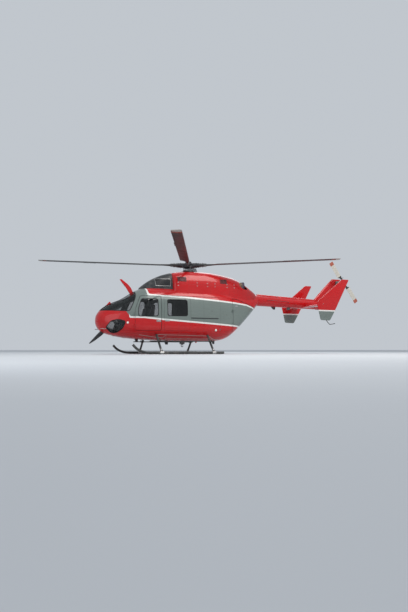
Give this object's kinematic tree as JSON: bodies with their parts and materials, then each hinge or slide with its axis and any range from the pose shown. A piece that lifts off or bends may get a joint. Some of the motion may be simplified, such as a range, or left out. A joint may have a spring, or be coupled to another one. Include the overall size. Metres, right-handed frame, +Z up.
{
  "type": "light twin-engine utility helicopter",
  "caption": "Light helicopter on a skid gear, with a rigid four-blade main rotor, a blunt cabin with large windows, rear clamshell doors and a slim tail boom with end plates and a side tail rotor.",
  "frame": {"origin": "on the ground, at the centre of the footprint box of the parked helicopter, about 1.08 m aft of the rotor mast", "axes": "+X towards the nose, +Y to port (the pilot's left), +Z up"},
  "size_m": [12.2152, 10.0616, 3.6548],
  "materials": {
    "red_paint": "gloss",
    "grey_paint": "satin",
    "black_paint": "satin",
    "red_boom": "gloss",
    "red_composite": "gloss",
    "grey_composite": "satin",
    "black_composite": "satin",
    "blade_composite": "satin",
    "machinery": "satin",
    "tail_gearbox_alloy": "satin",
    "clear_glazing": "gloss",
    "cabin_trim": "matte",
    "seat_fabric": "matte"
  },
  "bodies": {
    "airframe": {"belly_shell": "red_paint", "nose_shell": "red_paint", "upper_shell": "red_paint", "cabin_floor": "cabin_trim", "cabin_bench": "seat_fabric", "instrument_console": "cabin_trim", "side_wall_left": "grey_paint", "side_wall_right": "grey_paint", "sliding_door_left": "grey_paint", "sliding_door_right": "grey_paint", "sliding_door_window_left": "clear_glazing", "sliding_door_window_right": "clear_glazing", "windscreen_left": "clear_glazing", "windscreen_right": "clear_glazing", "chin_window_left": "clear_glazing", "chin_window_right": "clear_glazing", "pilot_seat_left": "seat_fabric", "pilot_seat_right": "seat_fabric", "engine_left": "machinery", "engine_right": "machinery", "exhaust_left": "black_paint", "exhaust_right": "black_paint", "skid_left": "black_paint", "skid_right": "black_paint", "step_left": "black_paint", "step_right": "black_paint", "end_plate_left": "red_composite", "end_plate_right": "red_composite", "cross_tube_front": "black_paint", "cross_tube_rear": "black_paint", "intake_fairing": "black_composite", "engine_cowling": "red_composite", "main_gearbox": "machinery", "tail_boom": "red_boom", "tail_fin": "red_composite", "stabiliser": "red_composite", "tail_bumper": "black_paint", "tail_gearbox": "tail_gearbox_alloy", "upper_cutter": "red_paint", "lower_cutter": "black_paint", "hook_plate": "black_paint"},
    "left_cockpit_door": {"cockpit_door_left": "grey_paint", "cockpit_door_window_left": "clear_glazing"},
    "right_cockpit_door": {"cockpit_door_right": "grey_paint", "cockpit_door_window_right": "clear_glazing"},
    "left_clamshell": {"clamshell_door_left": "grey_composite"},
    "right_clamshell": {"clamshell_door_right": "grey_composite"},
    "main_rotor": {"rotor_mast": "black_paint", "rotor_hub": "black_paint", "rotor_blade_1": "blade_composite", "rotor_blade_2": "blade_composite", "rotor_blade_3": "blade_composite", "rotor_blade_4": "blade_composite"},
    "tail_rotor_body": {"tail_rotor": "blade_composite"}
  },
  "joints": [
    {"name": "main_rotor_spin", "type": "hinge", "parent": "airframe", "child": "main_rotor", "pos_m": [1.0768, 0, 3.2], "axis": [0, 0, 1], "continuous": true},
    {"name": "tail_rotor_spin", "type": "hinge", "parent": "airframe", "child": "tail_rotor_body", "pos_m": [-5.4452, 0.42, 2.83], "axis": [0, 1, 0], "continuous": true},
    {"name": "left_cockpit_door_swing", "type": "hinge", "parent": "airframe", "child": "left_cockpit_door", "pos_m": [3.3088, 0.764, 1.2], "axis": [0, 0, -1], "range_deg": [0, 80]},
    {"name": "right_cockpit_door_swing", "type": "hinge", "parent": "airframe", "child": "right_cockpit_door", "pos_m": [3.3088, -0.764, 1.2], "axis": [0, 0, 1], "range_deg": [0, 80]},
    {"name": "left_clamshell_swing", "type": "hinge", "parent": "airframe", "child": "left_clamshell", "pos_m": [-0.3672, 0.762, 1.3], "axis": [0, 0, -1], "range_deg": [0, 100]},
    {"name": "right_clamshell_swing", "type": "hinge", "parent": "airframe", "child": "right_clamshell", "pos_m": [-0.3672, -0.762, 1.3], "axis": [0, 0, 1], "range_deg": [0, 100]}
  ],
  "couplings": [
    {"joint": "tail_rotor_spin", "follows": "main_rotor_spin", "ratio": -5.66}
  ]
}
